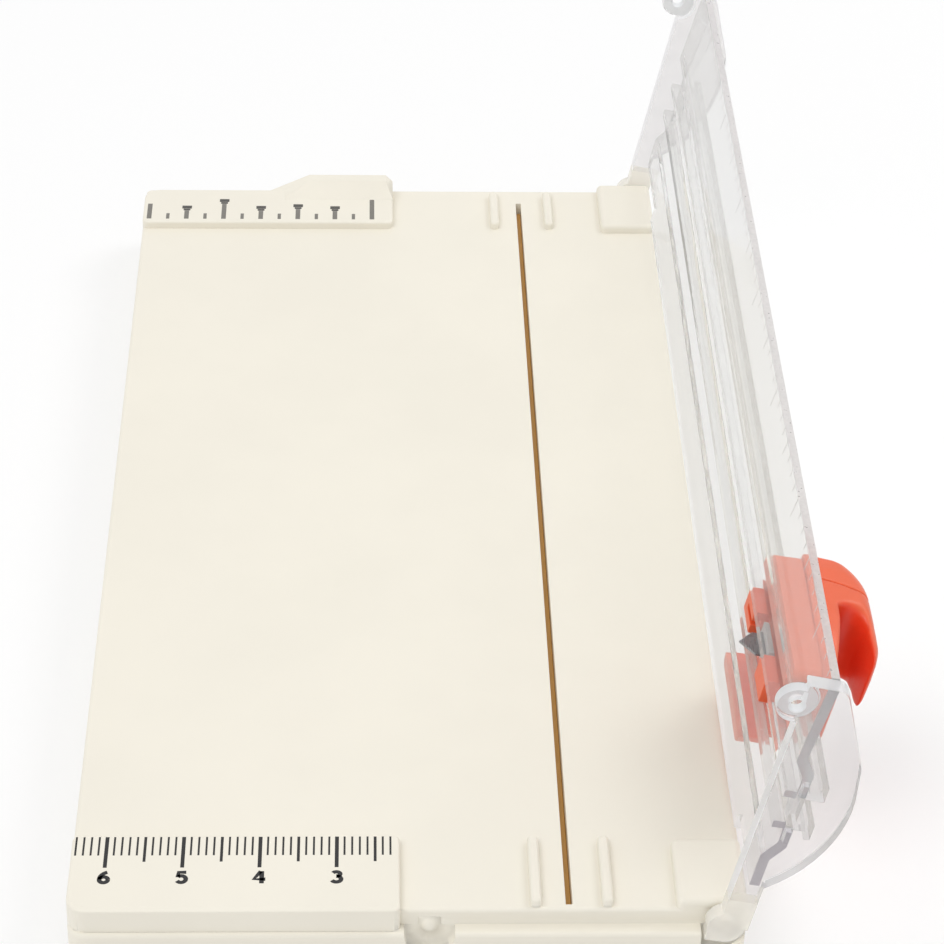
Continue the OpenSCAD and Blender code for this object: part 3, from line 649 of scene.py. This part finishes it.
def digit_strokes():
    """Place of each printed digit, and its middle lines in millimetres from the middle of its foot."""
    six = [arc(0, 0.78, 0.56, 0.53, 0, 360, 24), arc(0.75, 0.85, 1.3, 1.35, 180, 105)]
    five = [[Vector((0.58, 2.12)), Vector((-0.38, 2.12)), Vector((-0.46, 1.22))],
            arc(-0.02, 0.86, 0.6, 0.61, 135, -150)]
    four = [[Vector((0.22, 2.28)), Vector((-0.66, 0.82)), Vector((0.82, 0.82))],
            [Vector((0.34, 2.3)), Vector((0.34, 0.05))]]
    three = [arc(-0.02, 1.74, 0.5, 0.4, 150, -90), arc(-0.02, 0.8, 0.62, 0.54, 90, -155)]
    return {"6": (-60, six), "5": (-50, five), "4": (-40, four), "3": (-30, three)}


def add_stroke(bm, matrix, points, half):
    """Flat ribbon along points, with ends square to its line."""
    rails = []
    for i, here in enumerate(points):
        along = points[min(i + 1, len(points) - 1)] - points[max(i - 1, 0)]
        side = Vector((-along.y, along.x)).normalized() * half
        spots = ((here + side, INK_LOW), (here - side, INK_LOW), (here - side, INK_HIGH),
                 (here + side, INK_HIGH))
        rails.append([bm.verts.new(matrix @ Vector((*spot, height))) for spot, height in spots])
    for one, two in zip(rails, rails[1:]):
        for i in range(4):
            bm.faces.new((one[i], one[(i + 1) % 4], two[(i + 1) % 4], two[i]))
    bm.faces.new(rails[0][::-1])
    bm.faces.new(rails[-1])


def add_near_digits():
    """Centimetre digits below the near ticks."""
    for digit, (x, strokes) in digit_strokes().items():
        bm = bmesh.new()
        for points in strokes:
            add_stroke(bm, TO_BED @ Matrix.Translation((x, DIGIT_FOOT, 0)), points, DIGIT_HALF)
        bmesh.ops.recalc_face_normals(bm, faces=bm.faces)
        name = "near_scale_" + digit
        add_piece(name, to_mesh(bm, name, sharp=20), [INK], "base", "foot_rubber")


def add_far_ticks():
    """Inch scale on the far fence, in eighths, with heavier heads on the quarter marks between its ends."""
    stems, heads = [], []
    for eighth in FAR_EIGHTHS:
        x = eighth * INCH / 8
        kind = rank(eighth, 8, 4, 2)
        half = FAR_TICK_HALF[kind]
        end = FAR_TICK_FOOT + FAR_TICK_LONG[kind]
        headed = eighth % 2 == 0 and eighth not in (FAR_EIGHTHS[0], FAR_EIGHTHS[-1])
        stem_end = end - HEAD_LONG if headed else end
        stems.append((-x - half, FAR_TICK_FOOT, -x + half, stem_end, INK_LOW, INK_HIGH))
        if headed:
            step = end - HEAD_WIDE_LONG
            heads.append((-x - HEAD_HALF, stem_end, -x + HEAD_HALF, step, INK_LOW, INK_HIGH))
            heads.append((-x - HEAD_WIDE_HALF, step, -x + HEAD_WIDE_HALF, end, INK_LOW, INK_HIGH))
    add_marks("far_scale_ticks", TO_BED, stems, INK_FAINT, "base", "foot_rubber")
    add_marks("far_scale_heads", TO_BED, heads, INK_PALE, "base", "foot_rubber")


# Arm


def split_faces(bm, wanted, place, normal):
    """Cuts the wanted faces along a plane given in the arm frame."""
    faces = [face for face in bm.faces if wanted(face)]
    parts = {part for face in faces for part in (face, *face.edges, *face.verts)}
    bmesh.ops.bisect_plane(bm, geom=list(parts), dist=0.001 * MM, plane_co=TO_ARM @ Vector(place),
                           plane_no=TO_ARM.to_3x3() @ Vector(normal))


def add_clear(node, bm, paints, choose):
    """Piece of the arm in the place of a CAD node, with one of the paints chosen for each face."""
    mesh = to_mesh(bm, node + "_body")
    even_shading(add_piece(node + "_body", mesh, paints, "arm", "clear_plastic", node))
    for face in mesh.polygons:
        face.material_index = choose(face)


def rail_paint(face):
    """Paint of a face of the rail: clear, the lower half of its near cut and tenons in painted shade, their
    upper half in painted light, or ruler edge.
    """
    place = TO_ARM.inverted() @ face.center
    if place.z > RULER_BEVEL:
        return 3
    cut = face.normal.y < -FACING and place.y < RAIL_NEAR + SLACK and place.x < TRACK_OUT
    tenon = place.y < RAIL_NEAR - SLACK
    if cut or tenon:
        # Below the slot the painted shade, above it the painted light
        return 1 if place.z < SLOT_LOW else 2 if place.z > SLOT_HIGH else 0
    return 0


def add_rail():
    bm = take_flat("arm_rail")
    soften(bm, width=0.1)
    for place, normal in (((TRACK_OUT, 0, 0), (1, 0, 0)), ((0, 0, SLOT_LOW), (0, 0, 1)),
                          ((0, 0, SLOT_HIGH), (0, 0, 1))):
        split_faces(bm, lambda face: face.normal.y < -FACING, place, normal)
    add_clear("arm_rail", bm, [CLEAR, RAIL_CUT_SHADED, RAIL_CUT_LIT, RULER_EDGE], rail_paint)


def plate_paint(face):
    """Paint of a face of an end plate: clear, rim, thick end at the hinge in a cream paint made lighter as
    painted light against the shade there, or hole of the knob.
    """
    place = TO_ARM.inverted() @ face.center
    if place.z < HINGE_END:
        return 2
    if math.hypot(place.x - KNOB_OUT, place.z - KNOB_UP) < KNOB_MILKY:
        return 3
    return 0 if abs(face.normal.y) > FACING else 1


def add_end_plates():
    for name in ("end_plate_near", "end_plate_far"):
        bm = take_flat(name)
        soften(bm, width=0.2, segments=3)
        split_faces(bm, lambda face: True, (0, 0, HINGE_END), (0, 0, 1))
        add_clear(name, bm, [PLATE, PLATE_RIM, PLATE_HINGE, PLATE_KNOB], plate_paint)


def add_edge_ticks():
    """Engraved scale of eighths of an inch along the ruler edge of the clear arm."""
    bars = []
    for count in EDGE_EIGHTHS:
        y = count * INCH / 8
        low = EDGE_TICK_TOP - EDGE_TICK_LONG[rank(count, 8, 4)]
        bars.append((y - EDGE_TICK_HALF, low, y + EDGE_TICK_HALF, EDGE_TICK_TOP, 0, EDGE_TICK_HIGH))
    face = Matrix(((0, 0, 1, 0), (1, 0, 0, 0), (0, 1, 0, 0), (0, 0, 0, 1)))
    foot = Matrix.Translation((RULER_FOOT_OUT, 0, RULER_FOOT_UP))
    lean = foot @ Matrix.Rotation(RULER_SLOPE, 4, "Y")
    matrix = TO_ARM @ lean @ Matrix.Translation((0, 0, -RULER_FOOT_UP)) @ face
    add_marks("edge_ticks", matrix, bars, ENGRAVED, "arm", "clear_plastic")


# Hood


def touching_planes(count=800):
    """Directions spread evenly over the half sphere whose last part is not negative."""
    index = np.arange(count) + 0.5
    rise = index / count
    turn = index * math.pi * (1 + 5 ** 0.5)
    across = np.sqrt(1 - rise ** 2)
    return np.stack([across * np.cos(turn), across * np.sin(turn), rise], 1)


def disc_hull(discs, w, y, t):
    """Signed distance to the hull of rounded discs: middle, radius, half width and edge of each."""
    found = np.full(np.broadcast(w, y, t).shape, -np.inf)
    for a, b, c in touching_planes():
        reach = max(a * cw + b * cy + (r - edge) * math.hypot(a, b) + (half - edge) * c + edge
                    for cw, cy, r, half, edge in discs)
        np.maximum(found, (a * w + b * y - reach) + c * np.abs(t), out=found)
    return found


def circle_hull(circles, x, y):
    """Signed distance to the hull of circles, each a middle and a radius."""
    found = np.full(np.broadcast(x, y).shape, -np.inf)
    for angle in np.linspace(0, 2 * np.pi, 240, endpoint=False):
        a, b = math.cos(angle), math.sin(angle)
        reach = max(a * cx + b * cy + r for cx, cy, r in circles)
        np.maximum(found, a * x + b * y - reach, out=found)
    return found


def smooth_max(first, second, blend):
    """Larger of two distances, with the edge between them rounded."""
    share = np.clip(0.5 + 0.5 * (first - second) / blend, 0, 1)
    return second + (first - second) * share + blend * share * (1 - share)


def way_along(place, start, length):
    """Share, from 0 to 1, of the way from a start over a length."""
    return np.clip((place - start) / length, 0, 1)


def surface_net(distance, low, step):
    """Vertices and faces of the zero level of a grid of distances."""
    inside = distance < 0
    corners = np.array([(a, b, c) for a in (0, 1) for b in (0, 1) for c in (0, 1)])
    cells = np.stack([inside[a:a - 1 or None, b:b - 1 or None, c:c - 1 or None] for a, b, c in corners])
    active = cells.any(0) & ~cells.all(0)
    where = np.argwhere(active)
    values = np.stack([distance[tuple((where + corner).T)] for corner in corners], 1)
    total = np.zeros((len(where), 3))
    count = np.zeros(len(where))
    for i in range(8):
        for j in range(i + 1, 8):
            if np.abs(corners[i] - corners[j]).sum() == 1:
                crossed = (values[:, i] < 0) != (values[:, j] < 0)
                share = np.where(crossed, values[:, i] / np.where(crossed, values[:, i] - values[:, j], 1), 0)
                total += crossed[:, None] * (corners[i] + share[:, None] * (corners[j] - corners[i]))
                count += crossed
    verts = low + step * (where + total / count[:, None])
    index = np.full(active.shape, -1)
    index[active] = np.arange(len(where))
    faces = []
    for axis in range(3):
        moved = np.moveaxis(inside, axis, 0)
        number = np.moveaxis(index, axis, 0)
        here, there = moved[:-1, 1:-1, 1:-1], moved[1:, 1:-1, 1:-1]
        for outward, spots in ((True, np.argwhere(here & ~there)), (False, np.argwhere(~here & there))):
            x, p, q = spots.T
            ring = ((0, 0), (1, 0), (1, 1), (0, 1))
            quad = np.stack([number[x, p + i, q + j] for i, j in ring], 1)
            faces.append(quad if outward == (axis != 1) else quad[:, ::-1])
    return verts, np.concatenate(faces)


def hole_distance(w, y):
    """Signed distance to the finger hole, open towards the front above a floor that rises to the back."""
    hole = circle_hull(HOLE_CIRCLES, w, y)
    front = np.maximum(np.maximum(y - HOLE_FRONT, w - HOLE_MIDDLE), THUMB_TOP - w)
    floor = THUMB_TOP + HOLE_FLOOR_RISE * way_along(y, start=-9, length=9.3)
    return np.maximum(np.minimum(hole, front), floor - w)


def hood_distance(w, y, t):
    """Signed distance to the hood, at places out from the arm (w), along the cut (y) and up the arm (t)."""
    outer = disc_hull(VISOR_DISCS, w, y, t)
    outer = smooth_max(outer, y - HOOD_END, blend=0.8)
    plate = circle_hull(THUMB_CIRCLES, t, y)
    plate = smooth_max(plate, w - THUMB_TOP, blend=0.5)
    outer = -smooth_max(-outer, -plate, blend=0.5)
    outer = smooth_max(outer, HOOD_FOOT - w, blend=0.15)
    thick = 1.1 * way_along(y, start=-4.5, length=3.5) + 0.4 * way_along(y, start=0, length=3)
    soft = 0.35 + thick * way_along(w, start=11.4, length=4)
    return smooth_max(outer, -hole_distance(w, y), blend=soft)


def add_hood():
    """Visor and rear cap, parted by a bent seam, with the share of painted shade inside the finger hole
    stored on their meshes.
    """
    counts = np.rint((GRID_HIGH - GRID_LOW) / GRID_STEP).astype(int) + 1
    axes = (GRID_LOW[i] + GRID_STEP * np.arange(counts[i]) for i in range(3))
    w, y, t = np.meshgrid(*axes, indexing="ij", sparse=True)
    hood = hood_distance(w, y, t)
    seam = SEAM_Y - SEAM_BEND * way_along(w, start=9, length=8) ** 2
    loop = smooth_max(hood, y - seam, blend=0.15)
    cap = smooth_max(hood, seam + SEAM_GAP - y, blend=0.15)
    for node, distance in (("finger_loop", loop), ("rear_cap", cap)):
        verts, faces = surface_net(distance, GRID_LOW, GRID_STEP)
        mesh = bpy.data.meshes.new(node + "_body")
        mesh.from_pydata(verts.tolist(), [], faces.tolist())
        # Painted shade: full inside the finger hole above the thumb plate, fading out within 0.7 mm of its
        # edge
        depth = hole_distance(verts[:, 0], verts[:, 1])
        raised = way_along(verts[:, 0], start=11.2, length=1.5)
        inside = (1 - way_along(depth, start=0, length=0.7)) * raised
        mesh.attributes.new("inside", "FLOAT", "POINT").data.foreach_set("value", inside)
        mesh.transform(TO_CARRIAGE)
        mesh.shade_smooth()
        piece = add_piece(node + "_body", mesh, [HOOD], "carriage", "orange_plastic", node)
        relax = piece.modifiers.new("relax", "SMOOTH")
        relax.factor = 0.5
        relax.iterations = 6


# Carriage


def add_slider():
    """Slider with large round corners at its ends and its wing, and small ones elsewhere."""
    corners = ((SLIDER_HALF, SLIDER_SIDE), (-SLIDER_HALF, SLIDER_SIDE), (-SLIDER_HALF, -SLIDER_SIDE),
               (SLIDER_HALF, WING_SIDE), (WING_NEAR, WING_SIDE))

    def at_corner(*ends):
        places = [TO_CARRIAGE.inverted() @ end for end in ends]
        return any(all(math.hypot(place.y - y, place.z - t) < SLACK for place in places) for y, t in corners)

    def round_face(*ends):
        places = [TO_CARRIAGE.inverted() @ end for end in ends]
        outside = all(place.x > SLIDER_OUT - SLACK for place in places)
        return outside and all(abs(place.y) > UNDER_HOOD_Y or abs(place.z) > UNDER_HOOD_T for place in places)

    bm = take_flat("slider")
    soften(bm, width=1.4, segments=4, wanted=at_corner)
    soften(bm, width=0.4, segments=4, wanted=round_face)
    soften(bm, width=0.12, sharp=40)
    mesh = to_mesh(bm, "slider_body")
    even_shading(add_piece("slider_body", mesh, [ORANGE], "carriage", "orange_plastic", "slider"))


def add_carriage():
    add_slider()
    add_hood()
    dress("blade_holder", HOLDER, "carriage", "holder_plastic", width=0.12)
    dress("blade", BLADE, "carriage", "blade_steel", width=0.05)
    dress("blade_pin", SCREW, "carriage", "screw_steel", width=0.1)


# Studio


def add_floor():
    """Pale floor, shown as the white background with a faint shadow on it."""
    bm = bmesh.new()
    for x, y in ((-FLOOR_SIDE, -FLOOR_SIDE), (FLOOR_SIDE, -FLOOR_SIDE), (FLOOR_SIDE, FLOOR_FAR),
                 (-FLOOR_SIDE, FLOOR_FAR)):
        bm.verts.new((x, y, 0))
    bm.faces.new(bm.verts)
    mesh = bpy.data.meshes.new("floor")
    bm.to_mesh(mesh)
    bm.free()
    paint = Paint("floor_white", Base_Color=(0.94, 0.94, 0.94, 1), Roughness=0.9)
    white = paint.node("ShaderNodeEmission", {"Color": (1, 1, 1, 1), "Strength": 1.0})
    paint.show(paint.background_ray() * 0.5, white)
    mesh.materials.append(paint.material)
    floor = bpy.data.objects.new("floor", mesh)
    bpy.context.scene.collection.objects.link(floor)


def add_light(name, place, size, power):
    """Round soft lamp that faces the trimmer."""
    data = bpy.data.lights.new(name, "AREA")
    data.shape = "DISK"
    data.size = size
    data.energy = power
    lamp = bpy.data.objects.new(name, data)
    lamp.location = place
    lamp.rotation_euler = (-Vector(place)).to_track_quat("-Z", "Y").to_euler()
    bpy.context.scene.collection.objects.link(lamp)


def add_world():
    """White studio: dimmer as a light than as a background."""
    world = bpy.data.worlds.new("studio")
    bpy.context.scene.world = world
    world.use_nodes = True
    nodes = Nodes(world.node_tree)
    strength = nodes.background_ray().ramp(0, 1, to_low=WORLD_LIGHT, to_high=1.0)
    back = world.node_tree.nodes["Background"]
    back.inputs["Color"].default_value = (1, 1, 1, 1)
    world.node_tree.links.new(strength.socket, back.inputs["Strength"])


add_camera()
add_base()
add_near_ticks()
add_near_digits()
add_far_ticks()
add_rail()
add_end_plates()
add_edge_ticks()
add_carriage()
add_floor()
add_light("key", place=(-0.6, -0.45, 1.2), size=0.9, power=6.0)
add_light("side", place=(0.6, 0.27, 0.75), size=0.5, power=2.0)
add_world()
bpy.context.scene.view_settings.view_transform = "Standard"
